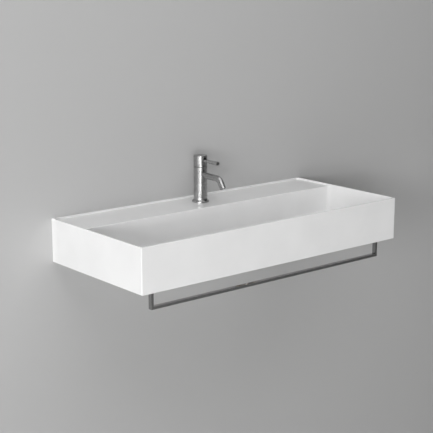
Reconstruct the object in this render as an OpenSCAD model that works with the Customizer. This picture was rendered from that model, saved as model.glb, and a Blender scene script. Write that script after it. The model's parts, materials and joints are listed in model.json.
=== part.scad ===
// Wall-hung washbasin with a single-lever mixer tap and a towel rail.
// X runs to the right, Y into the wall and Z up. The wall plane is Y = 0.
// The origin is the middle of the two wall fixing holes.

/* [Basin] */
// Overall width
basin_w = 1000; // [800:10:1200]
// Overall depth from the wall to the front
basin_d = 450; // [420:5:520]
// Overall height from the bottom edge to the rim
basin_h = 134; // [126:1:170]
// Thickness of the rim
rim_t = 6; // [5:0.5:10]
// Radius on both edges of the rim
rim_r = 2.4; // [0.8:0.1:2.4]
// Radius of the upright outer corners
corner_r = 4; // [2:0.5:12]
// Radius of the lower outer edges
lower_r = 3.5; // [1:0.5:8]
// Thickness of the skirt at its lower edge
skirt_t = 14; // [12:1:18]

/* [Bowl and deck] */
// Depth of the bowl at the waste, below the rim
bowl_depth = 106; // [90:1:108]
// Rise of the bowl floor from the waste to the foot of the walls
floor_fall = 5; // [3:0.5:8]
// Draft of the side and front walls, in degrees
wall_draft = 4.6; // [2:0.2:6]
// Draft of the back wall, in degrees
back_draft = 1.5; // [1:0.5:4]
// Radius between the walls and the floor
floor_r = 22; // [12:1:30]
// Radius of the inner upright corners
inner_corner_r = 12; // [6:1:16]
// Thickness of the ceramic round the bowl
bowl_t = 13; // [10:0.5:15]
// Depth of the deck from the wall to its front edge
deck_d = 158; // [140:1:175]
// Height of the rim above the deck
deck_drop = 5; // [3:0.5:10]
// Thickness of the deck
deck_t = 12; // [10:0.5:16]
// Radius of the deck's front edge
deck_edge_r = 3; // [1:0.5:6]

/* [Wall fixing] */
// Height of the fixing holes above the bottom edge
fix_h = 60; // [52:1:75]
// Distance between the two fixing holes
fix_pitch = 280; // [200:10:300]
// Diameter of the holes in the ceramic
fix_hole_d = 22; // [18:0.5:26]
// Diameter of the bore in each bush
bush_bore_d = 11; // [10.5:0.5:13]
// Thickness of the ceramic against the wall
back_t = 18; // [14:1:24]
// Thickness of each bush's collar
bush_collar_t = 3; // [2:0.5:5]
// Overlap of each bush's collar round its hole
bush_collar_w = 5; // [3:0.5:8]
// Distance from each fixing hole to the web beside it
rib_offset = 36; // [28:1:60]
// Thickness of the webs behind the bowl
rib_t = 12; // [8:1:16]

/* [Tap body] */
// Distance from the wall to the tap's axis
tap_back = 78.3; // [70:0.1:88]
// Diameter of the body
tap_d = 43.4; // [42.6:0.1:46]
// Height of the tap's top above the deck
tap_h = 149; // [147:1:155]
// Height of the split between body and cap above the deck
split_h = 114; // [111:1:115]
// Diameter of the flared foot
foot_d = 54; // [50:0.5:60]
// Height of the flare
foot_h = 14; // [10:0.5:18]
// Thickness of the foot at its rim
foot_t = 5; // [1:0.5:6]
// Diameter of the hole in the deck
tap_hole_d = 35; // [34:0.5:37]
// Length of the spigot that centres the body in the deck
spigot_l = 4; // [2:0.5:8]
// Diameter of the thread holes for the supply hoses
inlet_d = 9; // [8.5:0.1:9.5]
// Depth of those thread holes
inlet_l = 15; // [12:0.5:20]
// Diameter of the water passages
passage_d = 6; // [5:0.5:6]
// Diameter of the fixing stud
stud_d = 8; // [6:1:8]
// Length of the stud below the deck's underside
stud_drop = 32; // [26:1:40]

/* [Spout] */
// Height of the spout's straight run above the deck
spout_h = 87; // [84:0.5:88]
// Outer diameter of the spout
spout_d = 19.5; // [18.5:0.1:20.5]
// Wall of the spout
spout_wall = 1.3; // [1:0.1:1.4]
// Length of the straight run, from the tap's axis
spout_run = 79; // [60:1:100]
// Radius of the bend at the middle of the tube
spout_bend_r = 24; // [18:1:35]
// Angle of the spout's end below the level
spout_angle = 56; // [40:1:80]
// Length of the straight end
spout_tip = 22.5; // [14:0.5:35]

/* [Handle] */
// Wall of the cap
cap_wall = 2.2; // [1.8:0.1:2.4]
// Thickness of the cap's top
cap_top = 2; // [1.5:0.1:2.2]
// Height of the lever's axis above the deck
lever_h = 133.3; // [132.9:0.1:134]
// Reach of the lever from the tap's axis
lever_reach = 86; // [70:0.5:110]
// Diameter of the lever at the cap
lever_root_d = 9.6; // [8.5:0.1:9.8]
// Diameter of the lever at its tip
lever_tip_d = 13; // [10:0.1:14]
// Highest lift of the lever, in degrees
lever_lift = 15; // [12:1:20]
// Diameter of the pivot pin
pin_d = 4; // [3:0.5:4.5]
// Length of the stem below the pivot
stem_l = 15; // [14.8:0.1:15.2]

/* [Waste] */
// Outer diameter of the threaded tail
tail_d = 41.9; // [40:0.1:43]
// Wall of the tail
tail_wall = 2.4; // [1.8:0.1:3.5]
// Length of the tail below the bottom edge
tail_drop = 45; // [35:1:55]
// Diameter of the flange in the bowl
waste_flange_d = 66; // [62:1:72]
// Diameter of the hole in the ceramic
waste_hole_d = 46; // [45:0.5:48]
// Diameter of the cover
cover_d = 58; // [52:1:60]
// Depth of the seat in the bowl floor
waste_seat = 3; // [2:0.5:4]

/* [Towel rail] */
// Distance from the basin's side to the rail
rail_inset = 50; // [40:1:120]
// Distance from the basin's front to the rail
rail_setback = 26.6; // [22:0.2:40]
// Height of the tube, and its width on the legs
rail_t = 8; // [6:0.5:12]
// Depth of the tube from front to back
rail_d = 13; // [10:0.5:20]
// Wall of the tube
rail_wall = 1.5; // [1:0.1:2]
// Distance from the basin's bottom edge to the rail's underside
rail_drop = 55.3; // [40:0.5:90]
// Width of each foot plate
foot_plate_w = 24; // [22:1:34]
// Length of each foot plate
foot_plate_l = 50; // [46:1:70]
// Thickness of each foot plate
foot_plate_t = 3; // [2:0.5:4]
// Thickness of the pad above each foot plate
pad_t = 1; // [0.5:0.5:2]
// Diameter of the rail screws
rail_screw_d = 4.5; // [4:0.5:5]
// Diameter of the plugs that hold them
plug_d = 8; // [7.5:0.5:10]
// Length of the plugs
plug_l = 17; // [12:1:18]

/* [Clearances] */
// Gap round a bolt, tube or sleeve in its hole
slip = 0.1; // [0.05:0.01:0.2]
// Gap round the pivot pin
pin_slip = 0.05; // [0.02:0.01:0.08]
// Gap between pieces that pass each other
run_gap = 0.3; // [0.2:0.05:0.4]
// Gap round the lever in its slot
slot_gap = 0.55; // [0.4:0.05:0.7]

/* [Hidden] */
$fn = 64;

arc_steps = 6;
over = 1;
lap = 0.5;

// Levels and places of the basin
rim_z = basin_h - fix_h;
bottom_z = -fix_h;
deck_z = rim_z - deck_drop;
deck_under_z = deck_z - deck_t;
drain_z = rim_z - bowl_depth;
front_y = -basin_d;
inner_front_y = front_y + rim_t;
bowl_back_y = -deck_d;
drain_y = (inner_front_y + bowl_back_y) / 2;
inner_half_w = basin_w / 2 - rim_t;
rib_x = fix_pitch / 2 + rib_offset;
rib_rise = 15;
rib_low_z = bottom_z + rib_rise;
floor_edge_z = drain_z + floor_fall;
back_fillet_r = min(1.5, (deck_drop - rim_r) / 2);
ring_steps = 8;
foot_steps = 7;
edge_steps = 4;

// Levels and places of the tap, all from the deck and the tap's axis
tap_y = -tap_back;
tap_r = tap_d / 2;
tap_top_z = deck_z + tap_h;
split_z = deck_z + split_h;
split_gap = 1.2;
body_top_z = split_z - split_gap / 2;
cap_low_z = split_z + split_gap / 2;
glide_t = 1;
pivot_z = deck_z + lever_h;
spout_z = deck_z + spout_h;
spigot_play = 1;
spigot_r = tap_hole_d / 2 - spigot_play;
spigot_low_z = deck_z - spigot_l;
gasket_w = 2.8;
gasket_t = 2;
gasket_in = 2.5;
gasket_out_r = foot_d / 2 - gasket_in;

// Ports of the tap, as distances from its axis
port_x = 7.5;
port_y = 3.5;
outlet_y = -7;
outlet_r = 3.6;
outlet_drop = 2;
stud_y = -9;
stud_grip = 14;

// Clamping set under the deck
clamp_r = 24;
clamp_slot_x = 13.2;
clamp_slot_y = -2.5;
rubber_t = 3;
clamp_t = 3;
nut_wall = 2.5;
nut_af = stud_d + 2 * nut_wall;
nut_t = 7;

// Cartridge, seated at cart_low_z and clamped at cart_flange_z
ball_r = 1.9;
stem_lean = lever_lift / 2;
disc_travel = stem_l * sin(stem_lean);
moving_t = 5;
disc_drop = 13.3;
moving_top_z = pivot_z - disc_drop;
moving_low_z = moving_top_z - moving_t;
fixed_t = 4;
fixed_low_z = moving_low_z - fixed_t;
cart_base_t = 12;
cart_low_z = fixed_low_z - cart_base_t;
cart_flange_z = moving_low_z;
cart_r = 15.4;
cart_upper_r = 13.5;
cart_bore_r = 11.6;
cart_lip_r = 9;
cart_head_t = 6;
cart_top_z = moving_top_z + cart_head_t;
lip_t = 2;
fixed_play = 0.2;
fixed_r = cart_bore_r - fixed_play;
moving_r = 8.6;
seal_t = 1.5;
seal_w = 1.4;
seat_bore_r = cart_r + slip;
nut_step = 0.9;
nut_bore_r = seat_bore_r + nut_step;
collar_wall = 1.8;
collar_r = nut_bore_r + collar_wall;
collar_rise = 6;
collar_top_z = cart_flange_z + collar_rise;
cap_nut_t = 7;

// Carrier that turns in the cartridge and holds the pivot pin
rotor_r = cart_bore_r - run_gap;
rotor_low_z = moving_top_z + run_gap;
rotor_top_z = cart_top_z - lip_t - run_gap;
neck_r = cart_lip_r - run_gap;
ear_rise = 1.5;
ear_low_z = cart_top_z + ear_rise;
ear_head = 5.7;
ear_top_z = pivot_z + ear_head;
ear_in_x = 5.4;
ear_out_x = 9.4;
ear_y = 5.5;
web_y = 7.5;
hub_r = 5.2;
hub_half_w = ear_in_x - run_gap;

// Cap and lever
cap_in_r = tap_r - cap_wall;
insert_rise = 1;
insert_low_z = ear_low_z + insert_rise;
insert_r = cap_in_r - slip;
slot_r = lever_root_d / 2 + slot_gap;
slot_rise = tap_r * tan(lever_lift) + lever_root_d / 2 * (1 / cos(lever_lift) - 1);
grub_d = 4;
lever_start = 12;
lever_thread_d = 5;
boss_r = 4;

// Spout
spout_r = spout_d / 2;
spout_bore_r = spout_r - spout_wall;
socket_u = 9;
aerator_wall = 1.1;
aerator_l = 8.5;
aerator_r = spout_bore_r - slip;
end_lap = 0.5;
end_step = 0.02;
ring_in = 4;
ring_u = socket_u + ring_in;
ring_w = 2.4;
ring_depth = 0.8;

// Waste
tail_r = tail_d / 2;
tail_end_z = bottom_z - tail_drop;
waste_seat_z = drain_z - waste_seat;
top_seal_t = 1.5;
flange_t = 2;
flange_low_z = waste_seat_z + top_seal_t;
flange_top_z = flange_low_z + flange_t;
waste_pad_extra = 1;
waste_pad_z = drain_z - bowl_t - waste_pad_extra;
waste_pad_edge = 3;
waste_pad_r = waste_flange_d / 2 + waste_pad_edge;
bottom_seal_t = 4;
slip_washer_t = 1;
backnut_t = 8;
washer_w = 10;
washer_r = waste_hole_d / 2 + washer_w;
relief_w = 2;
relief_z = bottom_z - relief_w;
spider_drop = 16;
spider_z = flange_low_z - spider_drop;
spider_t = 6;
waste_stud_r = 3;
cover_lift = 6;
cover_t = 2.5;
cover_crown = 2.5;

// Towel rail
rail_half_w = basin_w / 2 - rail_inset;
rail_front_y = front_y + rail_setback;
rail_low_z = bottom_z - rail_drop;
boss_rise = 7;
boss_z = bottom_z + boss_rise;
plate_top_z = boss_z - pad_t;
plate_low_z = plate_top_z - foot_plate_t;
rail_screw_in = 7;
rail_screw_x = rail_half_w - foot_plate_w + rail_screw_in;
rail_screw_end = 8;
rail_screw_y = [rail_front_y + rail_d + rail_screw_end, rail_front_y + foot_plate_l - rail_screw_end];
rail_screw_l = 20;
rail_head_r = rail_screw_d;
rail_head_t = 2.6;
screw_edge = 1;
screw_play = 0.25;
screw_tip_r = 0.6;
thread_gap = 0.05;
key_w = 2.9;
key_deep = 1.6;

// The points of one corner b between a and c, rounded to radius r
function corner(a, b, c, r) =
    r == 0 ? [b] :
    let (
        u = (a - b) / norm(a - b),
        w = (c - b) / norm(c - b),
        half = acos(u * w) / 2,
        o = b + (u + w) / norm(u + w) * r / sin(half),
        p = b + u * r / tan(half) - o,
        q = b + w * r / tan(half) - o,
        sweep = 180 - 2 * half
    )
    [for (i = [0:arc_steps])
        o + (p * sin((1 - i / arc_steps) * sweep) + q * sin(i / arc_steps * sweep)) / sin(sweep)];

// An outline from points [x, y, radius]
function outline(pts) =
    [for (i = [0:len(pts) - 1])
        let (
            a = pts[(i + len(pts) - 1) % len(pts)],
            b = pts[i],
            c = pts[(i + 1) % len(pts)]
        )
        each corner([a[0], a[1]], [b[0], b[1]], [c[0], c[1]], b[2])];

// Lays a section drawn in X and Z along Y, from y0 forwards to y1
module section_along_y(y0, y1) {
    translate([0, y0, 0]) rotate([90, 0, 0]) linear_extrude(y0 - y1) children();
}

// Lays a section drawn in Y and Z along X, over the whole length, centred
module section_along_x(length) {
    translate([-length / 2, 0, 0]) rotate([90, 0, 90]) linear_extrude(length) children();
}

module both_sides() {
    children();
    mirror([1, 0, 0]) children();
}

module ring(r_out, r_in, low_z, h) {
    translate([0, 0, low_z]) linear_extrude(h) difference() {
        circle(r_out);
        circle(r_in);
    }
}

module rod(r, low_z, high_z) {
    translate([0, 0, low_z]) cylinder(r = r, h = high_z - low_z);
}

// Outer form of the basin, with every edge rounded
module outer_form() {
    half = basin_w / 2;
    intersection() {
        translate([0, 0, bottom_z - over]) linear_extrude(basin_h + 2 * over) polygon(outline([
            [-half, front_y, corner_r], [half, front_y, corner_r], [half, 0, 0], [-half, 0, 0]
        ]));
        section_along_y(over, front_y - over) polygon(outline([
            [-half, bottom_z, lower_r], [half, bottom_z, lower_r],
            [half, rim_z, rim_r], [-half, rim_z, rim_r]
        ]));
        section_along_x(basin_w + 2 * over) polygon(outline([
            [front_y, bottom_z, lower_r], [0, bottom_z, 0],
            [0, rim_z, rim_r], [front_y, rim_z, rim_r]
        ]));
    }
}

// How far a drafted wall has come in at height z, with the floor's fillet at its foot
function wall_inset(z, draft, top_z) =
    let (
        rise = z - floor_edge_z,
        end_inset = tan(draft) * (top_z - floor_edge_z) + floor_r * tan(45 - draft / 2)
    )
    rise > floor_r * (1 - sin(draft)) ? tan(draft) * (top_z - z) :
        end_inset - sqrt(pow(floor_r, 2) - pow(floor_r - rise, 2));

// A rounded rectangle at height z, as points
function plan_ring(z, half_w, ring_front_y, ring_back_y, r) =
    [for (c = [[1, 1], [-1, 1], [-1, -1], [1, -1]])
        let (
            x = c[0] * (half_w - r),
            y = c[1] > 0 ? ring_back_y - r : ring_front_y + r,
            start = c[1] > 0 ? (c[0] > 0 ? 0 : 90) : (c[0] > 0 ? 270 : 180)
        )
        for (i = [0:ring_steps])
            let (a = start + 90 * i / ring_steps)
            [x + r * cos(a), y + r * sin(a), z]];

// The bowl at height z: its corners open out as the fillet runs into the floor
function bowl_ring(z, ring_back_y, out = 0) =
    let (
        inset = wall_inset(z, wall_draft, rim_z),
        foot = inset - tan(wall_draft) * (rim_z - z),
        share = foot / (floor_r * tan(45 - wall_draft / 2))
    )
    plan_ring(z, inner_half_w - inset + out, inner_front_y + inset - out, ring_back_y,
        inner_corner_r + floor_r * pow(share, 3) + out);

// The bowl's back wall at height z, with the rounded edge of the deck at its top
function bowl_back(z) =
    let (h = max(0, z - deck_z + deck_edge_r))
    bowl_back_y - wall_inset(z, back_draft, deck_z) + deck_edge_r - sqrt(pow(deck_edge_r, 2) - pow(h, 2));

// A solid through level rings of equally many points, from the lowest up to the highest
module loft(rings, foot_point) {
    n = len(rings[0]);
    last = len(rings) - 1;
    polyhedron(
        points = concat([for (level = rings) each level], [foot_point]),
        faces = concat(
            [for (i = [0:n - 1]) [i, (i + 1) % n, n * (last + 1)]],
            [for (k = [0:last - 1], i = [0:n - 1])
                [k * n + i, (k + 1) * n + i, (k + 1) * n + (i + 1) % n, k * n + (i + 1) % n]],
            [[for (i = [n - 1:-1:0]) last * n + i]]
        )
    );
}

// The bowl below the deck, down to a floor that falls to the waste
module bowl_loft() {
    foot_rings = [for (i = [0:foot_steps])
        let (z = floor_edge_z + floor_r * (1 - sin(90 - (90 - wall_draft) * i / foot_steps)))
        bowl_ring(z, bowl_back(z))];
    edge_rings = [for (i = [0:edge_steps])
        let (z = deck_z - deck_edge_r * (1 - sin(90 * i / edge_steps)))
        bowl_ring(z, bowl_back(z))];
    closing_ring = bowl_ring(deck_z + over, bowl_back(deck_z) - over, -over);
    loft(concat(foot_rings, edge_rings, [closing_ring]), [0, drain_y, drain_z]);
}

// The pocket over the bowl and the deck, out to the rounded lip of the rim
module deck_loft() {
    fillet_rings = [for (i = [0:edge_steps])
        let (a = 90 * i / edge_steps)
        bowl_ring(deck_z + back_fillet_r * (1 - cos(a)), -rim_t - back_fillet_r * (1 - sin(a)))];
    lip_rings = [for (i = [0:edge_steps])
        let (a = 90 * i / edge_steps, out = rim_r * (1 - cos(a)))
        bowl_ring(rim_z - rim_r * (1 - sin(a)), -rim_t + out, out)];
    closing_ring = bowl_ring(rim_z + over, -rim_t + rim_r, rim_r);
    loft(concat(fillet_rings, lip_rings, [closing_ring]), [0, drain_y, deck_z]);
}

// The outside of the ceramic round the bowl, seen from the front
module shell_front_section() {
    lean = tan(wall_draft) * (bowl_depth - floor_fall);
    side_x = inner_half_w + bowl_t;
    low_z = drain_z - bowl_t;
    polygon(outline([
        [side_x, rim_z, 0], [-side_x, rim_z, 0],
        [-side_x + lean, low_z + floor_fall, floor_r + bowl_t], [0, low_z, 0],
        [side_x - lean, low_z + floor_fall, floor_r + bowl_t]
    ]));
}

// The same ceramic seen from the side, as far as the deck
module shell_side_section() {
    back_lean = tan(back_draft) * (bowl_depth - floor_fall - deck_drop);
    low_z = drain_z - bowl_t;
    polygon(outline([
        [bowl_back_y + bowl_t, deck_z, 0],
        [bowl_back_y + bowl_t - back_lean, low_z + floor_fall, floor_r + bowl_t],
        [drain_y, low_z, 0],
        [inner_front_y, low_z + floor_fall, 0],
        [front_y, low_z + floor_fall, 0],
        [front_y, deck_z, 0]
    ]));
}

// The shell that the bowl keeps below and behind it
module bowl_shell() {
    intersection() {
        section_along_y(0, front_y) shell_front_section();
        section_along_x(basin_w) shell_side_section();
    }
}

// Corner pads that take the rail's feet
module rail_corner_pads() {
    pad_x = rail_half_w - foot_plate_w - 4;
    pad_back_y = rail_front_y + foot_plate_l + 4;
    both_sides() translate([pad_x, front_y, boss_z])
        cube([basin_w / 2 - pad_x, pad_back_y - front_y, deck_under_z - boss_z]);
}

// The hollow underside: a recess under the bowl and service bays behind it
module underside_space() {
    half = basin_w / 2 - skirt_t;
    difference() {
        translate([-half, front_y + skirt_t, bottom_z - over])
            cube([2 * half, basin_d - skirt_t - back_t, deck_under_z - bottom_z + over]);
        bowl_shell();
        rail_corner_pads();
        both_sides() translate([rib_x - rib_t / 2, bowl_back_y, rib_low_z])
            cube([rib_t, deck_d, deck_z - rib_low_z]);
        translate([0, drain_y, 0]) rod(waste_pad_r, waste_pad_z, drain_z);
    }
}

module basin() {
    color("white") difference() {
        outer_form();
        underside_space();
        bowl_loft();
        deck_loft();
        translate([0, drain_y, 0]) {
            rod(waste_flange_d / 2 + 1, waste_seat_z, rim_z);
            rod(waste_hole_d / 2, bottom_z, rim_z);
        }
        translate([0, tap_y, 0]) rod(tap_hole_d / 2, deck_under_z - over, rim_z);
        both_sides() translate([fix_pitch / 2, over, 0]) rotate([90, 0, 0])
            cylinder(d = fix_hole_d, h = back_t + 2 * over);
        both_sides() for (y = rail_screw_y)
            translate([rail_screw_x, y, 0]) rod(plug_d / 2, boss_z - over, boss_z + plug_l + 1);
    }
}

// Collared sleeves that keep the wall bolts off the ceramic
module wall_bushes() {
    color("gainsboro") both_sides() translate([fix_pitch / 2, 0, 0]) rotate([90, 0, 0]) {
        ring(fix_hole_d / 2 - slip, bush_bore_d / 2, 0.5, back_t - 0.5);
        ring(fix_hole_d / 2 + bush_collar_w, bush_bore_d / 2, back_t, bush_collar_t);
    }
}

// Turned outside of the body, from the flared foot to the collar under the cap
module body_turning() {
    foot_r = foot_d / 2;
    foot_edge = 0.6;
    top_edge = 0.3;
    flare_w = foot_r - foot_edge - tap_r;
    flare_h = foot_h - foot_t;
    rotate_extrude() polygon(concat(
        [[0, spigot_low_z], [spigot_r, spigot_low_z], [spigot_r, deck_z], [foot_r, deck_z],
            [foot_r, deck_z + foot_t - foot_edge]],
        [for (i = [0:8]) let (a = 90 * i / 8)
            [foot_r - foot_edge - flare_w * sin(a), deck_z + foot_t + flare_h * (1 - cos(a))]],
        [[tap_r, body_top_z - top_edge], [tap_r - top_edge, body_top_z], [collar_r, body_top_z],
            [collar_r, collar_top_z], [0, collar_top_z]]
    ));
}

module tap_body() {
    color("silver") translate([0, tap_y, 0]) difference() {
        body_turning();
        rod(seat_bore_r, cart_low_z, collar_top_z + over);
        rod(nut_bore_r, cart_flange_z, collar_top_z + over);
        ring(gasket_out_r + slip, gasket_out_r - gasket_w - slip, deck_z - over, gasket_t + over);
        both_sides() translate([port_x, port_y, 0]) {
            rod(inlet_d / 2, spigot_low_z - over, spigot_low_z + inlet_l);
            rod(passage_d / 2, spigot_low_z, cart_low_z + over);
        }
        translate([0, outlet_y, 0]) rod(outlet_r, spout_z - outlet_drop, cart_low_z + over);
        translate([0, stud_y, 0]) rod(stud_d / 2 + slip, spigot_low_z - over, deck_z + stud_grip + over);
        translate([0, -socket_u, spout_z]) rotate([90, 0, 0])
            cylinder(r = spout_r + slip, h = tap_r);
    }
}

// Seal in the groove under the foot
module base_gasket() {
    color("dimgray") translate([0, tap_y, 0])
        ring(gasket_out_r, gasket_out_r - gasket_w, deck_z, gasket_t);
}

// Runs from the tap's axis along the level run, round the bend and down the end.
// The straight end is a hair wider than the bend and starts just inside it.
module spout_path(r, from_u, tip) {
    rotate([90, 0, 0]) translate([0, 0, from_u]) cylinder(r = r, h = spout_run - from_u);
    translate([0, -spout_run, -spout_bend_r]) rotate([0, 90, 0]) rotate([0, 0, 180])
        rotate_extrude(angle = spout_angle) translate([spout_bend_r, 0]) circle(r);
    at_bend_end() translate([0, 0, -end_lap]) cylinder(r = r + end_step, h = tip + end_lap);
}

// Frame at the end of the bend, with Z along the water's way out
module at_bend_end() {
    translate([0, -spout_run - spout_bend_r * sin(spout_angle), -spout_bend_r * (1 - cos(spout_angle))])
        rotate([90 + spout_angle, 0, 0]) children();
}

module spout() {
    color("silver") translate([0, tap_y, spout_z]) difference() {
        spout_path(spout_r, socket_u, spout_tip);
        spout_path(spout_bore_r, socket_u - over, spout_tip + over);
        rotate([90, 0, 0]) ring(spout_r + over, spout_r - ring_depth, ring_u, ring_w);
    }
}

// Seal in the groove of the spout's root
module spout_o_ring() {
    color("dimgray") translate([0, tap_y, spout_z]) rotate([90, 0, 0])
        ring(spout_r, spout_r - ring_depth + 0.05, ring_u + 0.05, ring_w - 0.1);
}

// Threaded ring that holds the flow former in the spout's mouth
module aerator_housing() {
    color("silver") translate([0, tap_y, spout_z]) at_bend_end()
        ring(aerator_r, aerator_r - aerator_wall, spout_tip - aerator_l, aerator_l - 0.6);
}

// Flow former with a honeycomb of water ways
module aerator_insert() {
    former_r = aerator_r - aerator_wall - 0.05;
    pitch = 2.6;
    color("whitesmoke") translate([0, tap_y, spout_z]) at_bend_end()
        translate([0, 0, spout_tip - aerator_l]) linear_extrude(aerator_l - 1.6) difference() {
            circle(former_r);
            for (i = [-2:2], j = [-2:2])
                let (x = pitch * (i + j / 2), y = pitch * j * sin(60))
                    if (norm([x, y]) < former_r - 1.2) translate([x, y]) rotate(30) circle(r = 1.1, $fn = 6);
        }
}

// Threaded stud that pulls the tap down on the deck
module fixing_stud() {
    color("silver") translate([0, tap_y + stud_y, 0])
        rod(stud_d / 2, deck_under_z - stud_drop, deck_z + stud_grip);
}

// Horseshoe outline that leaves room for the hoses
module horseshoe(low_z, h, hole_r) {
    translate([0, tap_y, low_z]) linear_extrude(h) difference() {
        circle(clamp_r);
        translate([-clamp_slot_x, clamp_slot_y]) square([2 * clamp_slot_x, 2 * clamp_r]);
        translate([0, stud_y]) circle(hole_r);
    }
}

module stud_rubber_washer() {
    color("dimgray") horseshoe(deck_under_z - rubber_t, rubber_t, stud_d / 2 + 0.3);
}

module stud_clamp_plate() {
    color("silver") horseshoe(deck_under_z - rubber_t - clamp_t, clamp_t, stud_d / 2 + 0.3);
}

module stud_nut() {
    color("gold") translate([0, tap_y + stud_y, deck_under_z - rubber_t - clamp_t - nut_t])
        linear_extrude(nut_t) difference() {
            circle(d = nut_af / cos(30), $fn = 6);
            circle(stud_d / 2 + slip);
        }
}

// Port layout shared by the cartridge's lower pieces
module port_holes(r) {
    both_sides() translate([port_x, port_y]) circle(r);
    translate([0, outlet_y]) circle(r);
}

// Port block at the bottom of the cartridge
module cartridge_base() {
    color("whitesmoke") translate([0, tap_y, cart_low_z]) difference() {
        linear_extrude(cart_base_t) difference() {
            circle(cart_r);
            port_holes(passage_d / 2);
        }
        translate([0, 0, -over]) linear_extrude(seal_t + over)
            port_holes(passage_d / 2 + 0.3 + seal_w + 0.05);
    }
}

// Three seals between the cartridge and its seat
module cartridge_seals() {
    color("dimgray") translate([0, tap_y, cart_low_z]) linear_extrude(seal_t) difference() {
        port_holes(passage_d / 2 + 0.3 + seal_w);
        port_holes(passage_d / 2 + 0.3);
    }
}

// Fixed ceramic disc with the three ports
module fixed_disc() {
    color("ivory") translate([0, tap_y, fixed_low_z]) linear_extrude(fixed_t) difference() {
        circle(fixed_r);
        port_holes(passage_d / 2 - 0.4);
    }
}

// Sleeve of the cartridge, with a flange below and a lip above
module cartridge_housing() {
    color("whitesmoke") translate([0, tap_y, 0]) rotate_extrude() polygon([
        [cart_bore_r, fixed_low_z], [cart_r, fixed_low_z], [cart_r, cart_flange_z],
        [cart_upper_r, cart_flange_z], [cart_upper_r, cart_top_z], [cart_lip_r, cart_top_z],
        [cart_lip_r, cart_top_z - lip_t], [cart_bore_r, cart_top_z - lip_t]
    ]);
}

// Ring nut that clamps the cartridge, with four notches for its key
module cartridge_nut() {
    notch = 4;
    notch_z = cart_flange_z + cap_nut_t - 2.5;
    color("gold") translate([0, tap_y, 0]) difference() {
        ring(nut_bore_r - slip, cart_upper_r + 0.3, cart_flange_z, cap_nut_t);
        for (a = [0:90:270]) rotate(a) translate([cart_upper_r - over, -notch / 2, notch_z])
            cube([nut_bore_r, notch, cap_nut_t]);
    }
}

// Thin ring that the cap turns on
module glide_ring() {
    color("black") translate([0, tap_y, 0]) ring(tap_r - 0.5, collar_r + slip, body_top_z, glide_t);
}

// Ceramic disc that the stem slides over the fixed one
module moving_disc() {
    color("ivory") translate([0, tap_y + disc_travel, 0]) difference() {
        rod(moving_r, moving_low_z, moving_top_z);
        rod(ball_r + run_gap, moving_low_z + 1, moving_top_z + over);
    }
}

// Rotor with two ears for the pivot pin and a web behind them
module cartridge_carrier() {
    slot_x = 3.6;
    slot_y = 5.2;
    color("whitesmoke") translate([0, tap_y, 0]) difference() {
        union() {
            rod(rotor_r, rotor_low_z, rotor_top_z);
            rod(neck_r, rotor_low_z, ear_low_z);
            translate([-ear_out_x, -ear_y, ear_low_z - lap])
                cube([2 * ear_out_x, ear_y + web_y, ear_top_z - ear_low_z + lap]);
        }
        translate([-ear_in_x, -ear_y - over, ear_low_z])
            cube([2 * ear_in_x, 2 * ear_y + over, ear_top_z - ear_low_z + over]);
        translate([-slot_x, -slot_y, rotor_low_z - over])
            cube([2 * slot_x, 2 * slot_y, ear_low_z - rotor_low_z + 2 * over]);
        translate([-ear_out_x - over, 0, pivot_z]) rotate([0, 90, 0])
            cylinder(d = pin_d + 2 * pin_slip, h = 2 * (ear_out_x + over));
    }
}

// Pin that the lever tilts on
module pivot_pin() {
    color("silver") translate([-ear_out_x, tap_y, pivot_z]) rotate([0, 90, 0])
        cylinder(d = pin_d, h = 2 * ear_out_x);
}

// Plug that joins the cap to the carrier
module cap_insert() {
    color("whitesmoke") translate([0, tap_y, 0]) difference() {
        rod(insert_r, insert_low_z, tap_top_z - cap_top);
        translate([-ear_out_x - slip, -ear_y - 2, insert_low_z - over])
            cube([2 * (ear_out_x + slip), ear_y + web_y + 2 + slip, tap_h]);
        translate([-slot_r - 0.2, -insert_r - over, insert_low_z - over])
            cube([2 * (slot_r + 0.2), insert_r + over, tap_h]);
        translate([0, 0, pivot_z]) rotate([-90, 0, 0]) cylinder(d = grub_d + 2 * slip, h = insert_r + over);
    }
}

// Turning cap with the lever's slot in front
module handle_cap() {
    color("silver") translate([0, tap_y, 0]) difference() {
        rotate_extrude() polygon(outline([
            [0, tap_top_z - cap_top, 0], [cap_in_r, tap_top_z - cap_top, 0], [cap_in_r, cap_low_z, 0],
            [tap_r, cap_low_z, 0.3], [tap_r, tap_top_z, 0.8], [0, tap_top_z, 0]
        ]));
        translate([0, 0, pivot_z]) rotate([90, 0, 0]) {
            cylinder(r = slot_r, h = tap_r + over);
            translate([0, slot_rise, 0]) cylinder(r = slot_r, h = tap_r + over);
            translate([-slot_r, 0, 0]) cube([2 * slot_r, slot_rise, tap_r + over]);
        }
        translate([0, 0, pivot_z]) rotate([-90, 0, 0]) cylinder(d = grub_d + 2 * slip, h = tap_r + over);
    }
}

// Socket screw at the back of the cap, tightened on the carrier's web
module cap_grub_screw() {
    color("silver") translate([0, tap_y, pivot_z]) rotate([-90, 0, 0]) difference() {
        translate([0, 0, web_y]) cylinder(d = grub_d, h = tap_r - web_y - 0.8);
        translate([0, 0, tap_r - 3]) cylinder(d = 2.3, h = 4, $fn = 6);
    }
}

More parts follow.
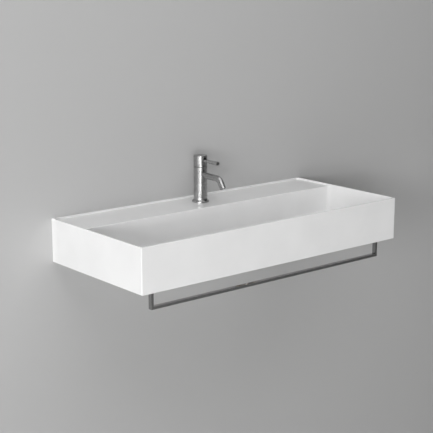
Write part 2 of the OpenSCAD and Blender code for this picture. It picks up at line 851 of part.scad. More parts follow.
// Hub on the pivot pin, with the stem that drives the disc and the lever's thread boss
module lever_stem() {
    color("silver") translate([0, tap_y, pivot_z]) difference() {
        union() {
            translate([-hub_half_w, 0, 0]) rotate([0, 90, 0]) cylinder(r = hub_r, h = 2 * hub_half_w);
            rotate([180 + stem_lean, 0, 0]) {
                cylinder(r1 = 3, r2 = 1.5, h = stem_l);
                translate([0, 0, stem_l]) sphere(ball_r);
            }
            rotate([90, 0, 0]) cylinder(r = boss_r, h = lever_start);
        }
        translate([-hub_half_w - over, 0, 0]) rotate([0, 90, 0])
            cylinder(d = pin_d + 2 * pin_slip, h = 2 * (hub_half_w + over));
        rotate([90, 0, 0]) translate([0, 0, pin_d / 2 + 1.5])
            cylinder(d = lever_thread_d + 2 * pin_slip, h = lever_start);
    }
}

// Lever rod, thicker towards its tip, with the thread that screws into the hub
module lever() {
    thread_from = pin_d / 2 + 2;
    color("silver") translate([0, tap_y, pivot_z]) rotate([90, 0, 0]) rotate_extrude() polygon(outline([
        [0, thread_from, 0], [lever_thread_d / 2, thread_from, 0], [lever_thread_d / 2, lever_start, 0],
        [lever_root_d / 2, lever_start, 0.4], [lever_root_d / 2, tap_r, 0],
        [lever_tip_d / 2, lever_reach, 0.7], [0, lever_reach, 0]
    ]));
}

// Threaded waste with a flange in the bowl and a spider for the cover
module waste_body() {
    bore_r = tail_r - tail_wall;
    spoke_w = 3;
    color("silver") translate([0, drain_y, 0]) {
        rotate_extrude() polygon([
            [bore_r, tail_end_z], [tail_r - 1, tail_end_z], [tail_r, tail_end_z + 1],
            [tail_r, relief_z - relief_w], [tail_r - 0.8, relief_z - relief_w],
            [tail_r - 0.8, relief_z], [tail_r, relief_z], [tail_r, flange_low_z],
            [waste_flange_d / 2, flange_low_z], [waste_flange_d / 2, flange_top_z - 1],
            [waste_flange_d / 2 - 3, flange_top_z], [bore_r + 1.5, flange_top_z],
            [bore_r, flange_top_z - 1.5]
        ]);
        difference() {
            union() {
                rod(6, spider_z, spider_z + spider_t);
                for (a = [0, 90]) rotate(a) translate([-bore_r - lap, -spoke_w / 2, spider_z])
                    cube([2 * (bore_r + lap), spoke_w, spider_t]);
            }
            rod(waste_stud_r + slip, spider_z - over, spider_z + spider_t + over);
        }
    }
}

// Crowned cover on its pillar
module waste_cover() {
    low_z = flange_top_z + cover_lift;
    r = cover_d / 2;
    color("silver") translate([0, drain_y, 0]) difference() {
        rotate_extrude() polygon(concat(
            [[0, spider_z + spider_t], [5, spider_z + spider_t], [5, low_z], [r - 1, low_z], [r, low_z + 1]],
            [for (i = [0:8]) let (k = 1 - i / 8) [r * k, low_z + cover_t + cover_crown * (1 - k * k)]]
        ));
        rod(waste_stud_r + slip, spider_z, low_z);
    }
}

// Stud that joins the cover's pillar to the spider
module waste_stud() {
    color("silver") translate([0, drain_y, 0]) rod(waste_stud_r, spider_z, flange_top_z + cover_lift - 2);
}

module waste_top_seal() {
    color("dimgray") translate([0, drain_y, 0])
        ring(waste_flange_d / 2 - 1, tail_r + 0.4, waste_seat_z, top_seal_t);
}

// Seal with a bevelled edge, pressed against the underside
module waste_bottom_seal() {
    color("dimgray") translate([0, drain_y, waste_pad_z - bottom_seal_t]) rotate_extrude() polygon([
        [tail_r + slip, 0], [washer_r, 0], [washer_r, bottom_seal_t - 1.5],
        [washer_r - 1.5, bottom_seal_t], [tail_r + slip, bottom_seal_t]
    ]);
}

module waste_slip_washer() {
    color("whitesmoke") translate([0, drain_y, 0])
        ring(washer_r, tail_r + slip, waste_pad_z - bottom_seal_t - slip_washer_t, slip_washer_t);
}

// Backnut with eight grip notches
module waste_backnut() {
    low_z = waste_pad_z - bottom_seal_t - slip_washer_t - backnut_t;
    nut_r = washer_r - 1;
    color("gold") translate([0, drain_y, low_z]) linear_extrude(backnut_t) difference() {
        circle(nut_r);
        circle(tail_r + slip);
        for (a = [0:45:315]) rotate(a) translate([nut_r - 1.8, -4]) square([4, 8]);
    }
}

// U of rectangular tube with mitred corners, closed by a foot plate on each leg
module towel_rail() {
    half = rail_half_w;
    color("gray") difference() {
        union() {
            section_along_y(rail_front_y + rail_d, rail_front_y) difference() {
                translate([-half, rail_low_z]) square([2 * half, plate_low_z - rail_low_z]);
                translate([-half + rail_t, rail_low_z + rail_t])
                    square([2 * (half - rail_t), plate_low_z - rail_low_z]);
            }
            both_sides() translate([half - foot_plate_w, rail_front_y, plate_low_z])
                cube([foot_plate_w, foot_plate_l, foot_plate_t]);
        }
        section_along_y(rail_front_y + rail_d - rail_wall, rail_front_y + rail_wall) difference() {
            translate([-half + rail_wall, rail_low_z + rail_wall])
                square([2 * (half - rail_wall), plate_low_z - rail_low_z - rail_wall]);
            translate([-half + rail_t - rail_wall, rail_low_z + rail_t - rail_wall])
                square([2 * (half - rail_t + rail_wall), plate_low_z - rail_low_z]);
        }
        rail_screw_holes(rail_screw_d / 2 + screw_play, plate_low_z - over, plate_top_z + over);
    }
}

module rail_screw_holes(r, low_z, high_z) {
    both_sides() for (y = rail_screw_y) translate([rail_screw_x, y, 0]) rod(r, low_z, high_z);
}

module rail_pads() {
    color("dimgray") difference() {
        both_sides() translate([rail_half_w - foot_plate_w, rail_front_y, plate_top_z])
            cube([foot_plate_w, foot_plate_l, pad_t]);
        rail_screw_holes(rail_screw_d / 2 + screw_play, plate_top_z - over, boss_z + over);
    }
}

// Plugs in the ceramic that the rail's screws bite into
module rail_plugs() {
    color("gray") difference() {
        rail_screw_holes(plug_d / 2 - slip, boss_z, boss_z + plug_l);
        rail_screw_holes(rail_screw_d / 2 + thread_gap, boss_z - over, boss_z + plug_l - lap);
    }
}

// Pan-head screws with a hexagon socket
module rail_screws() {
    tip_z = rail_head_t + rail_screw_l - screw_edge;
    color("silver") both_sides() for (y = rail_screw_y)
        translate([rail_screw_x, y, plate_low_z - rail_head_t]) difference() {
            rotate_extrude() polygon([
                [0, 0], [rail_head_r - screw_edge, 0], [rail_head_r, screw_edge], [rail_head_r, rail_head_t],
                [rail_screw_d / 2, rail_head_t], [rail_screw_d / 2, tip_z - screw_edge],
                [screw_tip_r, tip_z], [0, tip_z]
            ]);
            translate([0, 0, -over]) cylinder(d = key_w, h = key_deep + over, $fn = 6);
        }
}

basin();
wall_bushes();
tap_body();
base_gasket();
spout();
spout_o_ring();
aerator_housing();
aerator_insert();
fixing_stud();
stud_rubber_washer();
stud_clamp_plate();
stud_nut();
cartridge_base();
cartridge_seals();
fixed_disc();
cartridge_housing();
cartridge_nut();
glide_ring();
moving_disc();
cartridge_carrier();
pivot_pin();
cap_insert();
handle_cap();
cap_grub_screw();
lever_stem();
lever();
waste_body();
waste_cover();
waste_stud();
waste_top_seal();
waste_bottom_seal();
waste_slip_washer();
waste_backnut();
towel_rail();
rail_pads();
rail_plugs();
rail_screws();
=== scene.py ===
import bpy
import json
import math
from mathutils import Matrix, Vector


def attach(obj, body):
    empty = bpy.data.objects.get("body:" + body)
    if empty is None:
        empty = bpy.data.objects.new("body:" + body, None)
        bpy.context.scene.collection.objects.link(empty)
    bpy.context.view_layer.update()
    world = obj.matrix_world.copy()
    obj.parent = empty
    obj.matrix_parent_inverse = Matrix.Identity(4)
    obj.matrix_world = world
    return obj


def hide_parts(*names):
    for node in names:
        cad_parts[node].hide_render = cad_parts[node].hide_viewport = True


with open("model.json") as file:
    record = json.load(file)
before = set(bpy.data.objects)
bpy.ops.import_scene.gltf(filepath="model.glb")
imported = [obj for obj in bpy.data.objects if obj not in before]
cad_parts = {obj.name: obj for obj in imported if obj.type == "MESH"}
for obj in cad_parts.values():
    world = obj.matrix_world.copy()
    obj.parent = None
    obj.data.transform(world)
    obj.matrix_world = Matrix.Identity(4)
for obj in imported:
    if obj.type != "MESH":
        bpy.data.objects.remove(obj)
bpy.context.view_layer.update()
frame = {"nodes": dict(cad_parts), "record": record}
nodes = frame["nodes"]
mm = 0.001

# nearly all of a noise's values lie between these two
noiseLow = 0.3
noiseHigh = 0.7

# which sockets a Mix node uses for colours and for vectors
mixColour = {"first": 6, "second": 7, "out": 2}
mixVector = {"first": 4, "second": 5, "out": 1}


def hexToLinear(code):
    # sRGB hex as painted on screen, to the linear numbers that shaders use
    parts = [int(code[i:i + 2], 16) / 255 for i in (1, 3, 5)]
    return [p / 12.92 if p <= 0.04045 else ((p + 0.055) / 1.055) ** 2.4 for p in parts] + [1.0]


def addNode(tree, kind, inputs=None, out=0, stops=None, **settings):
    # one shader node: inputs are values or sockets to link, stops are a ramp's places and colours
    node = tree.nodes.new(kind)
    for name, value in settings.items():
        setattr(node, name, value)
    for name, value in (inputs or {}).items():
        if isinstance(value, bpy.types.NodeSocket):
            tree.links.new(value, node.inputs[name])
        else:
            node.inputs[name].default_value = value
    for number, (place, code) in enumerate(stops or []):
        element = node.color_ramp.elements[number] if number < 2 else node.color_ramp.elements.new(place)
        element.position = place
        element.color = hexToLinear(code)
    return node.outputs[out]


def newMaterial(name, viewColour):
    material = bpy.data.materials.new(name)
    material.use_nodes = True
    material.diffuse_color = hexToLinear(viewColour)
    tree = material.node_tree
    tree.nodes.clear()
    shader = addNode(tree, "ShaderNodeBsdfPrincipled").node
    output = tree.nodes.new("ShaderNodeOutputMaterial")
    tree.links.new(shader.outputs["BSDF"], output.inputs["Surface"])
    return material, tree, shader


# the glaze's pattern: clouds of tone as wide as a hand, a skin that rolls every 16 mm, and pinhead mottle
glazeLook = {"white": "#F5F5F5", "shade": "#F0F0F0", "roughness": 0.13, "smoother": 0.7, "rougher": 1.3,
             "cloud": 120 * mm, "wave": 16 * mm, "waveDepth": 0.05 * mm,
             "speck": 1.2 * mm, "speckDepth": 0.004 * mm, "ior": 1.52}


def glazedChina():
    # vitreous china, sprayed with glaze and fired: an even white with a glassy, very slightly rolling skin
    material, tree, shader = newMaterial("glazedVitreousChina", glazeLook["white"])
    place = addNode(tree, "ShaderNodeTexCoord", out="Object")
    cloud = addNode(tree, "ShaderNodeTexNoise", {
        "Vector": place, "Scale": 1 / glazeLook["cloud"], "Detail": 3})
    wave = addNode(tree, "ShaderNodeTexNoise", {
        "Vector": place, "Scale": 1 / glazeLook["wave"], "Detail": 1})
    speck = addNode(tree, "ShaderNodeTexNoise", {
        "Vector": place, "Scale": 1 / glazeLook["speck"], "Detail": 2})
    colour = addNode(tree, "ShaderNodeValToRGB", {"Fac": cloud},
                     stops=[(noiseLow, glazeLook["shade"]), (noiseHigh, glazeLook["white"])])
    gloss = addNode(tree, "ShaderNodeMapRange", {
        "Value": cloud,
        "To Min": glazeLook["roughness"] * glazeLook["smoother"],
        "To Max": glazeLook["roughness"] * glazeLook["rougher"]})
    rolling = addNode(tree, "ShaderNodeBump", {
        "Height": wave, "Strength": 1.0, "Distance": glazeLook["waveDepth"]})
    skin = addNode(tree, "ShaderNodeBump", {
        "Height": speck, "Strength": 1.0, "Distance": glazeLook["speckDepth"], "Normal": rolling})
    tree.links.new(colour, shader.inputs["Base Color"])
    tree.links.new(gloss, shader.inputs["Roughness"])
    tree.links.new(skin, shader.inputs["Normal"])
    shader.inputs["IOR"].default_value = glazeLook["ior"]
    return material


# the bare back: grinding leaves a grain of 0.9 mm, and wiping leaves smears 45 mm wide; facing and within say
# which faces are bare: those that look at the wall and lie on it
bisqueLook = {"light": "#E0DDD6", "dark": "#D9D5CC", "smear": 45 * mm, "smearLow": 0.35, "smearHigh": 0.65,
              "grain": 0.9 * mm, "depth": 0.03 * mm, "dullest": 0.92, "leastDull": 0.72,
              "facing": 0.9, "within": 1 * mm}


def bareChina():
    # the back is wiped free of glaze before firing and ground flat: dull and a little buff
    material, tree, shader = newMaterial("bareFiredChina", bisqueLook["light"])
    place = addNode(tree, "ShaderNodeTexCoord", out="Object")
    smear = addNode(tree, "ShaderNodeTexNoise", {
        "Vector": place, "Scale": 1 / bisqueLook["smear"], "Detail": 4})
    grain = addNode(tree, "ShaderNodeTexNoise", {
        "Vector": place, "Scale": 1 / bisqueLook["grain"], "Detail": 3})
    colour = addNode(tree, "ShaderNodeValToRGB", {"Fac": smear}, stops=[
        (bisqueLook["smearLow"], bisqueLook["dark"]), (bisqueLook["smearHigh"], bisqueLook["light"])])
    dull = addNode(tree, "ShaderNodeMapRange", {
        "Value": grain, "To Min": bisqueLook["leastDull"], "To Max": bisqueLook["dullest"]})
    rough = addNode(tree, "ShaderNodeBump", {
        "Height": grain, "Strength": 1.0, "Distance": bisqueLook["depth"]})
    tree.links.new(colour, shader.inputs["Base Color"])
    tree.links.new(dull, shader.inputs["Roughness"])
    tree.links.new(rough, shader.inputs["Normal"])
    return material


# the real belt lines are 0.02 to 0.05 mm apart, and are drawn ten times as coarse, so that some show close up
# stretch is a line's width over its length, spread how far the lines smear what is mirrored, and cloud the
# size of the marks that hands leave; the cap's flat top lies above flatTop, and the rail's mitre is where the
# distance from its middle and the height add up to mitre
tapLook = {"light": "#B8B8B8", "dark": "#A3A3A3", "roughness": 0.25, "line": 0.35 * mm, "stretch": 0.05,
           "cloud": 25 * mm, "depth": 0.0012 * mm, "spread": 0.9, "flatTop": 217.9 * mm}
# the rail's tones are darker than the tap's: partly the steel's own tone, partly painted shade for the rail's
# place in the shade under the basin
railLookWithPaintedShade = {"light": "#A2A2A2", "dark": "#969696", "roughness": 0.2, "line": 0.4 * mm, "stretch": 0.04,
            "cloud": 60 * mm, "depth": 0.0015 * mm, "spread": 0.0, "mitre": 334.7 * mm}
# what both kinds share: how uneven the lines are, and how far lines and handling change the roughness
beltLook = {"uneven": 0.6, "smoother": 0.85, "rougher": 1.15, "cleanest": -0.02, "mostHandled": 0.03}


def satinSteel(name, look, acrossLines, mitreAt=None, topAt=None):
    # stainless steel, ground with a fine belt: lines run along the axes in which the pattern is stretched,
    # on the rail they turn at the mitre, as on welded tube that was brushed before it was joined,
    # and on the flat top of the tap, ground on its own, they run from side to side
    material, tree, shader = newMaterial(name, look["light"])
    place = addNode(tree, "ShaderNodeTexCoord", out="Object")
    axes = addNode(tree, "ShaderNodeSeparateXYZ", {"Vector": place}).node
    stretch = [1.0 if axis in acrossLines else look["stretch"] for axis in "XYZ"]
    along = addNode(tree, "ShaderNodeMapping", {"Vector": place, "Scale": stretch})
    lines = addNode(tree, "ShaderNodeTexNoise", {
        "Vector": along, "Scale": 1 / look["line"], "Detail": 3, "Roughness": beltLook["uneven"]})
    if mitreAt:
        upright = addNode(tree, "ShaderNodeMapping", {"Vector": place, "Scale": (1, 1, look["stretch"])})
        upLines = addNode(tree, "ShaderNodeTexNoise", {
            "Vector": upright, "Scale": 1 / look["line"], "Detail": 3, "Roughness": beltLook["uneven"]})
        side = addNode(tree, "ShaderNodeMath", {0: axes.outputs["X"]}, operation="ABSOLUTE")
        level = addNode(tree, "ShaderNodeMath", {0: side, 1: axes.outputs["Z"]}, operation="ADD")
        onLeg = addNode(tree, "ShaderNodeMath", {0: level, 1: mitreAt}, operation="GREATER_THAN")
        lines = addNode(tree, "ShaderNodeMix", {"Factor": onLeg, "A": lines, "B": upLines})
    if topAt:
        flat = addNode(tree, "ShaderNodeMapping", {"Vector": place, "Scale": (look["stretch"], 1, 1)})
        flatLines = addNode(tree, "ShaderNodeTexNoise", {
            "Vector": flat, "Scale": 1 / look["line"], "Detail": 3, "Roughness": beltLook["uneven"]})
        onTop = addNode(tree, "ShaderNodeMath", {0: axes.outputs["Z"], 1: topAt}, operation="GREATER_THAN")
        lines = addNode(tree, "ShaderNodeMix", {"Factor": onTop, "A": lines, "B": flatLines})
    cloud = addNode(tree, "ShaderNodeTexNoise", {
        "Vector": place, "Scale": 1 / look["cloud"], "Detail": 2})
    colour = addNode(tree, "ShaderNodeValToRGB", {"Fac": lines},
                     stops=[(noiseLow, look["dark"]), (noiseHigh, look["light"])])
    base = addNode(tree, "ShaderNodeMapRange", {
        "Value": lines, "From Min": noiseLow, "From Max": noiseHigh,
        "To Min": look["roughness"] * beltLook["smoother"],
        "To Max": look["roughness"] * beltLook["rougher"]})
    handled = addNode(tree, "ShaderNodeMapRange", {
        "Value": cloud, "From Min": noiseLow, "From Max": noiseHigh,
        "To Min": beltLook["cleanest"], "To Max": beltLook["mostHandled"]})
    gloss = addNode(tree, "ShaderNodeMath", {0: base, 1: handled}, operation="ADD")
    scratch = addNode(tree, "ShaderNodeBump", {
        "Height": lines, "Strength": 1.0, "Distance": look["depth"]})
    tree.links.new(colour, shader.inputs["Base Color"])
    tree.links.new(gloss, shader.inputs["Roughness"])
    tree.links.new(scratch, shader.inputs["Normal"])
    if look["spread"]:
        # the real lines are too fine for a picture this size: they smear what is mirrored across themselves
        ways = [float(axis in acrossLines) for axis in "XYZ"]
        across = addNode(tree, "ShaderNodeVectorMath", {0: place, 1: ways, 2: ways},
                         operation="MULTIPLY_ADD")
        if topAt:
            acrossTop = addNode(tree, "ShaderNodeVectorMath", {0: place, 1: (0, 1, 0), 2: (0, 1, 0)},
                                operation="MULTIPLY_ADD")
            across = addNode(tree, "ShaderNodeMix", {
                "Factor": onTop, mixVector["first"]: across, mixVector["second"]: acrossTop},
                out=mixVector["out"], data_type="VECTOR")
        inRoom = addNode(tree, "ShaderNodeVectorTransform", {"Vector": across}, vector_type="VECTOR",
                         convert_from="OBJECT", convert_to="WORLD")
        tree.links.new(inRoom, shader.inputs["Tangent"])
        shader.inputs["Anisotropic"].default_value = look["spread"]
    shader.inputs["Metallic"].default_value = 1.0
    return material


# light and dark tone, roughness, size of the grain, its depth, metallic or not, and the IOR of what is no
# metal; the real grain is a few times finer, and is drawn coarse enough to show close up
finishLook = {
    # polished and plated: a bright mirror with faint ripples
    "polishedChromePlate": ("#DCDCDC", "#D4D4D4", 0.05, 3 * mm, 0.002 * mm, 1.0, None),
    # pressed or rolled, then zinc plated: a cool half-dull grey
    "zincPlatedSteel": ("#B9BBBC", "#9EA1A4", 0.34, 0.8 * mm, 0.006 * mm, 1.0, None),
    # turned on a lathe and left bare: warm, with fine tool marks
    "turnedBrass": ("#C9AE6E", "#AD9152", 0.28, 1 * mm, 0.006 * mm, 1.0, None),
    # moulded in a blasted tool: dull near-black
    "mouldedRubber": ("#2E2E2D", "#232322", 0.68, 0.6 * mm, 0.02 * mm, 0.0, 1.5),
    # injection moulded: smooth, half dull, with the tool's fine grain
    "mouldedAcetalWhite": ("#E4E3DD", "#D8D7D0", 0.42, 0.7 * mm, 0.01 * mm, 0.0, 1.48),
    "mouldedNylonGrey": ("#9A9C9E", "#888A8C", 0.5, 0.7 * mm, 0.012 * mm, 0.0, 1.53),
    "mouldedAcetalBlack": ("#222222", "#191919", 0.42, 0.7 * mm, 0.01 * mm, 0.0, 1.48),
    # sintered and lapped flat: ivory with an even sheen
    "lappedAlumina": ("#EDEBE4", "#E4E1D8", 0.18, 0.5 * mm, 0.003 * mm, 0.0, 1.76)}
# what these finishes share: clouds of wear twelve grains wide, and how far the grain changes the roughness
wearLook = {"cloudGrains": 12, "smoother": 0.85, "rougher": 1.15}


def plainFinish(name):
    # a moulded, plated, turned or lapped skin: small even grain with clouds of wear
    light, dark, roughness, grain, depth, metallic, ior = finishLook[name]
    material, tree, shader = newMaterial(name, light)
    place = addNode(tree, "ShaderNodeTexCoord", out="Object")
    spots = addNode(tree, "ShaderNodeTexNoise", {"Vector": place, "Scale": 1 / grain, "Detail": 3})
    cloud = addNode(tree, "ShaderNodeTexNoise", {
        "Vector": place, "Scale": 1 / (wearLook["cloudGrains"] * grain), "Detail": 2})
    colour = addNode(tree, "ShaderNodeValToRGB", {"Fac": cloud},
                     stops=[(noiseLow, dark), (noiseHigh, light)])
    gloss = addNode(tree, "ShaderNodeMapRange", {
        "Value": spots, "From Min": noiseLow, "From Max": noiseHigh,
        "To Min": roughness * wearLook["smoother"], "To Max": roughness * wearLook["rougher"]})
    relief = addNode(tree, "ShaderNodeBump", {"Height": spots, "Strength": 1.0, "Distance": depth})
    tree.links.new(colour, shader.inputs["Base Color"])
    tree.links.new(gloss, shader.inputs["Roughness"])
    tree.links.new(relief, shader.inputs["Normal"])
    shader.inputs["Metallic"].default_value = metallic
    if ior:
        shader.inputs["IOR"].default_value = ior
    return material


glaze = glazedChina()
bisque = bareChina()
pillarSteel = satinSteel("satinStainlessPillar", tapLook, "Z", topAt=tapLook["flatTop"])
leverSteel = satinSteel("satinStainlessLever", tapLook, "Y")
spoutSteel = satinSteel("satinStainlessSpout", tapLook, "X")
railSteel = satinSteel("brushedStainlessRail", railLookWithPaintedShade, "YZ", mitreAt=railLookWithPaintedShade["mitre"])
plain = {name: plainFinish(name) for name in finishLook}

finishOfSlot = {"sanitary_glaze": glaze, "tap_steel": pillarSteel, "rail_steel": railSteel,
                "polished_chrome": plain["polishedChromePlate"], "zinc_steel": plain["zincPlatedSteel"],
                "turned_brass": plain["turnedBrass"], "black_rubber": plain["mouldedRubber"],
                "white_plastic": plain["mouldedAcetalWhite"], "grey_plastic": plain["mouldedNylonGrey"],
                "black_plastic": plain["mouldedAcetalBlack"], "disc_ceramic": plain["lappedAlumina"]}
for part in frame["record"]["subparts"]:
    mesh = nodes[part["node"]].data
    mesh.materials.clear()
    mesh.materials.append(finishOfSlot[part["material_slot"]])
print("finishes are on", len(nodes), "nodes")


def selectOnly(piece):
    bpy.ops.object.select_all(action="DESELECT")
    piece.select_set(True)
    bpy.context.view_layer.objects.active = piece


# how a CAD solid is made ready: points merged, flat faces joined, sharp edges broken, the rest shaded smooth;
# the angles are in degrees
dressLook = {"mergeWithin": 0.002 * mm, "flatWithin": 0.3, "sharpAbove": 50, "smoothBelow": 33,
             "edgeSteps": 2}


def mergedCopy(node, name):
    piece = bpy.data.objects.new(name, nodes[node].data.copy())
    piece.data.name = name
    bpy.context.scene.collection.objects.link(piece)
    selectOnly(piece)
    bpy.ops.mesh.customdata_custom_splitnormals_clear()
    bpy.ops.object.mode_set(mode="EDIT")
    bpy.ops.mesh.select_all(action="SELECT")
    bpy.ops.mesh.remove_doubles(threshold=dressLook["mergeWithin"])
    bpy.ops.mesh.dissolve_limited(angle_limit=math.radians(dressLook["flatWithin"]))
    bpy.ops.object.mode_set(mode="OBJECT")
    return piece


def finishShape(piece, brokenEdge):
    # the narrow round that grinding, moulding or glaze leaves on each sharp edge, then even shading
    selectOnly(piece)
    edges = piece.modifiers.new("brokenEdges", "BEVEL")
    edges.width = brokenEdge
    edges.segments = dressLook["edgeSteps"]
    edges.limit_method = "ANGLE"
    edges.angle_limit = math.radians(dressLook["sharpAbove"])
    bpy.ops.object.modifier_apply(modifier=edges.name)
    bpy.ops.object.shade_smooth_by_angle(angle=math.radians(dressLook["smoothBelow"]))
    even = piece.modifiers.new("evenShading", "WEIGHTED_NORMAL")  # flat faces stay flat beside their rounds
    even.keep_sharp = True
    bpy.ops.object.modifier_apply(modifier=even.name)


# pipe thread of 11 turns an inch on the tail, and a coarse 8 mm thread on the stud, where they can be seen
threadLook = {
    "wasteTail": {"axisY": -301 * mm, "radius": 20.95 * mm, "pitch": 2.31 * mm, "lowZ": -104.3 * mm,
                  "highZ": -59 * mm, "steps": 40},
    "fixingStud": {"axisY": -87.3 * mm, "radius": 4 * mm, "pitch": 1.25 * mm, "lowZ": 25.6 * mm,
                   "highZ": 43.5 * mm, "steps": 20}}
# the cutter's reach inwards and upwards from its middle, as shares of the pitch
veeLook = {"deep": 0.6, "tall": 0.44}


def cutThread(piece, look):
    # a vee groove swept round an upright axis and cut out of the piece
    bpy.ops.object.select_all(action="DESELECT")
    bpy.ops.mesh.primitive_circle_add(vertices=4, radius=1, fill_type="NOTHING", location=(0, 0, 0),
                                      rotation=(math.pi / 2, 0, 0))
    cutter = bpy.context.object
    bpy.ops.object.transform_apply(location=False, rotation=True, scale=False)
    bpy.ops.object.mode_set(mode="EDIT")
    bpy.ops.mesh.select_all(action="SELECT")
    bpy.ops.transform.resize(value=(veeLook["deep"] * look["pitch"], 1, veeLook["tall"] * look["pitch"]))
    bpy.ops.transform.translate(value=(look["radius"], 0, 0))
    bpy.ops.object.mode_set(mode="OBJECT")
    sweep = cutter.modifiers.new("sweep", "SCREW")
    sweep.screw_offset = look["pitch"]
    sweep.iterations = int((look["highZ"] - look["lowZ"]) / look["pitch"])
    sweep.steps = look["steps"]
    sweep.render_steps = look["steps"]
    bpy.ops.object.modifier_apply(modifier=sweep.name)
    bpy.ops.object.mode_set(mode="EDIT")
    bpy.ops.mesh.select_all(action="SELECT")
    bpy.ops.mesh.fill_holes(sides=4)
    bpy.ops.mesh.select_all(action="SELECT")
    bpy.ops.mesh.normals_make_consistent(inside=False)
    bpy.ops.transform.translate(value=(0, look["axisY"], look["lowZ"]))
    bpy.ops.object.mode_set(mode="OBJECT")
    selectOnly(piece)
    cut = piece.modifiers.new("thread", "BOOLEAN")
    cut.operation = "DIFFERENCE"
    cut.solver = "EXACT"
    cut.object = cutter
    bpy.ops.object.modifier_apply(modifier=cut.name)
    bpy.data.objects.remove(cutter)


# each dressed piece: the node it stands for, its body, its record slot, its finish and its broken edge
pieceLook = {
    "basinCasting": ("basin", "washbasin", "sanitary_glaze", glaze, 1.5 * mm),
    "pillarBody": ("tap_body", "washbasin", "tap_steel", pillarSteel, 0.3 * mm),
    "spoutTube": ("spout", "washbasin", "tap_steel", spoutSteel, 0.25 * mm),
    "aeratorRing": ("aerator_housing", "washbasin", "polished_chrome", plain["polishedChromePlate"],
                    0.2 * mm),
    "turningCap": ("handle_cap", "handle", "tap_steel", pillarSteel, 0.3 * mm),
    "capGrubScrew": ("cap_grub_screw", "handle", "zinc_steel", plain["zincPlatedSteel"], 0.1 * mm),
    # black, because a white lining would shine through the slot
    "capLining": ("cap_insert", "handle", "black_plastic", plain["mouldedAcetalBlack"], 0.3 * mm),
    "leverRod": ("lever", "lever_arm", "tap_steel", leverSteel, 0.2 * mm),
    "glideRing": ("glide_ring", "washbasin", "black_plastic", plain["mouldedAcetalBlack"], 0.1 * mm),
    "footGasket": ("base_gasket", "washbasin", "black_rubber", plain["mouldedRubber"], 0.3 * mm),
    "fixingStud": ("fixing_stud", "washbasin", "zinc_steel", plain["zincPlatedSteel"], 0.3 * mm),
    "clampWasher": ("stud_rubber_washer", "washbasin", "black_rubber", plain["mouldedRubber"], 0.4 * mm),
    "clampPlate": ("stud_clamp_plate", "washbasin", "zinc_steel", plain["zincPlatedSteel"], 0.4 * mm),
    "clampNut": ("stud_nut", "washbasin", "turned_brass", plain["turnedBrass"], 0.3 * mm),
    "wasteTail": ("waste_body", "washbasin", "polished_chrome", plain["polishedChromePlate"], 0.3 * mm),
    "wasteCover": ("waste_cover", "washbasin", "polished_chrome", plain["polishedChromePlate"], 0.4 * mm),
    "wasteSeal": ("waste_bottom_seal", "washbasin", "black_rubber", plain["mouldedRubber"], 0.4 * mm),
    "wasteWasher": ("waste_slip_washer", "washbasin", "white_plastic", plain["mouldedAcetalWhite"],
                    0.2 * mm),
    "wasteBackNut": ("waste_backnut", "washbasin", "turned_brass", plain["turnedBrass"], 0.5 * mm),
    "railTube": ("towel_rail", "washbasin", "rail_steel", railSteel, 0.4 * mm),
    "railPads": ("rail_pads", "washbasin", "black_rubber", plain["mouldedRubber"], 0.2 * mm),
    "railScrews": ("rail_screws", "washbasin", "zinc_steel", plain["zincPlatedSteel"], 0.2 * mm),
    "wallBushes": ("wall_bushes", "washbasin", "white_plastic", plain["mouldedAcetalWhite"], 0.4 * mm)}

pieces = {}
for name, (node, body, slotName, finish, brokenEdge) in pieceLook.items():
    piece = mergedCopy(node, name)
    piece.data.materials.clear()
    piece.data.materials.append(finish)
    finishShape(piece, brokenEdge)
    if name in threadLook:
        cutThread(piece, threadLook[name])
    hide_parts(node)
    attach(piece, body)
    pieces[name] = piece
print("dressed", len(pieces), "pieces")

# the ground back of the casting, where it lies on the wall
casting = pieces["basinCasting"].data
casting.materials.append(bisque)
for face in casting.polygons:
    if face.normal.y > bisqueLook["facing"] and face.center.y > -bisqueLook["within"]:
        face.material_index = 1
print("the casting's back is bare")


# paints of the stage and how dull they are, the floor's height and own glow, the planes' size, the wall's top
# and place, and how near a face may lie to a plane to see past it
stageLook = {"floor": "#E3E3E2", "wall": "#BEBEBE", "dull": 0.85, "floorZ": -1.3, "floorGlow": 0.12,
             "size": 14.0, "wallTop": 5.7, "wallY": 0.6 * mm, "skip": 0.02}


def stagePlane(name, cornersAt, glow=0.0):
    # seen from its front only, and not by the faces that lie on it
    mesh = bpy.data.meshes.new(name)
    mesh.from_pydata(cornersAt, [], [(0, 1, 2, 3)])
    plane = bpy.data.objects.new(name, mesh)
    bpy.context.scene.collection.objects.link(plane)
    material, tree, shader = newMaterial(name + "Paint", stageLook[name])
    shader.inputs["Base Color"].default_value = hexToLinear(stageLook[name])
    shader.inputs["Roughness"].default_value = stageLook["dull"]
    light = addNode(tree, "ShaderNodeLightPath").node
    away = addNode(tree, "ShaderNodeMath", {0: light.outputs["Ray Length"], 1: stageLook["skip"]},
                   operation="GREATER_THAN")
    behind = addNode(tree, "ShaderNodeNewGeometry", out="Backfacing")
    front = addNode(tree, "ShaderNodeMath", {0: 1.0, 1: behind}, operation="SUBTRACT")
    both = addNode(tree, "ShaderNodeMath", {0: away, 1: front}, operation="MULTIPLY")
    seen = addNode(tree, "ShaderNodeMath", {0: light.outputs["Is Camera Ray"], 1: glow},
                   operation="MULTIPLY")
    pale = addNode(tree, "ShaderNodeEmission", {"Color": hexToLinear(stageLook[name]), "Strength": seen})
    lit = addNode(tree, "ShaderNodeAddShader", {0: shader.outputs["BSDF"], 1: pale})
    clear = addNode(tree, "ShaderNodeBsdfTransparent")
    blend = addNode(tree, "ShaderNodeMixShader", {0: both, 1: clear, 2: lit})
    tree.links.new(blend, tree.nodes["Material Output"].inputs["Surface"])
    mesh.materials.append(material)


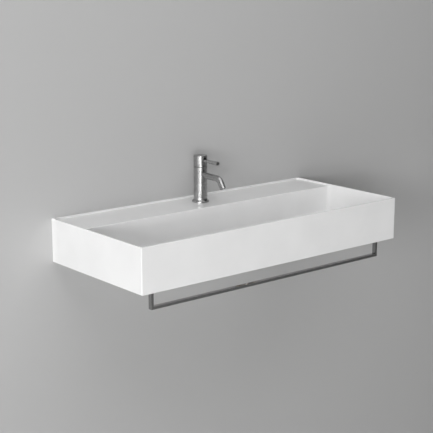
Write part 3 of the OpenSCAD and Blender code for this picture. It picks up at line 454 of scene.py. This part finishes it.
half = stageLook["size"] / 2
low = stageLook["floorZ"]
high = stageLook["wallTop"]
wallY = stageLook["wallY"]
stagePlane("floor", [(-half, -half, low), (half, -half, low), (half, half, low), (-half, half, low)],
           glow=stageLook["floorGlow"])
stagePlane("wall", [(-half, wallY, low), (half, wallY, low), (half, wallY, high), (-half, wallY, high)])

# each lamp: degrees left of straight ahead, degrees up, metres away, width and height in metres, watts
lightLook = {
    "windowKey": (39.9, 1, 5.9, 1.6, 1.0, 80),
    "windowFront": (28, -4, 5.9, 1.6, 0.8, 14),
    "paleRoomNear": (60, 8, 11.0, 4.0, 2.0, 342),
    "paleRoomSide": (80, 10, 11.0, 3.6, 3.0, 76),
    "paleRoomLow": (50, -9, 4.5, 7.4, 1.1, 20),
    "highFront": (30, 40, 5.0, 3.0, 2.0, 26),
    "ceilingFill": (20, 75, 4.0, 5.0, 5.0, 103),
    "behindWall": (150, 20, 3.0, 2.5, 2.5, 60)}
# the room's tones for the camera, for mirrors and for the rest, and the point that the lamps look at
surroundLook = {"seen": "#DCDCDC", "mirrored": "#444444", "soft": "#0E0E0E", "centre": (0, -0.225, 0.05)}


def panelLamp(name):
    left, up, away, wide, tall, watts = lightLook[name]
    data = bpy.data.lights.new(name, "AREA")
    data.shape = "RECTANGLE"
    data.size = wide
    data.size_y = tall
    data.energy = watts
    lamp = bpy.data.objects.new(name, data)
    bpy.context.scene.collection.objects.link(lamp)
    turn = math.radians(left)
    rise = math.radians(up)
    direction = Vector((-math.sin(turn) * math.cos(rise), -math.cos(turn) * math.cos(rise),
                        math.sin(rise)))
    lamp.location = Vector(surroundLook["centre"]) + direction * away
    lamp.rotation_euler = direction.to_track_quat("Z", "Y").to_euler()
    lamp.visible_camera = False


for lampName in lightLook:
    panelLamp(lampName)

# the camera sees a pale surround, polished parts mirror a dim room, and the rest takes little from it
world = bpy.data.worlds.new("studio")
world.use_nodes = True
bpy.context.scene.world = world
worldTree = world.node_tree
worldPath = addNode(worldTree, "ShaderNodeLightPath").node
indirect = addNode(worldTree, "ShaderNodeMix", {
    "Factor": worldPath.outputs["Is Glossy Ray"],
    mixColour["first"]: hexToLinear(surroundLook["soft"]),
    mixColour["second"]: hexToLinear(surroundLook["mirrored"])},
    out=mixColour["out"], data_type="RGBA")
seen = addNode(worldTree, "ShaderNodeMix", {
    "Factor": worldPath.outputs["Is Camera Ray"],
    mixColour["first"]: indirect,
    mixColour["second"]: hexToLinear(surroundLook["seen"])},
    out=mixColour["out"], data_type="RGBA")
worldTree.links.new(seen, worldTree.nodes["Background"].inputs["Color"])

bpy.context.scene.view_settings.view_transform = "Standard"

# places in metres, lens and sensor in millimetres
cameraLook = {"place": (-2.2083, -2.8293, 0.8322), "aim": (-0.0557, -0.225, 0.0543), "lens": 94.72,
              "sensorWide": 36, "farEnd": 50}
cameraData = bpy.data.cameras.new("camera")
cameraData.lens = cameraLook["lens"]
cameraData.sensor_width = cameraLook["sensorWide"]
cameraData.clip_end = cameraLook["farEnd"]
camera = bpy.data.objects.new("camera", cameraData)
bpy.context.scene.collection.objects.link(camera)
camera.location = cameraLook["place"]
sight = Vector(cameraLook["aim"]) - Vector(cameraLook["place"])
camera.rotation_euler = sight.to_track_quat("-Z", "Y").to_euler()
bpy.context.scene.camera = camera
print("stage, light and camera are set")
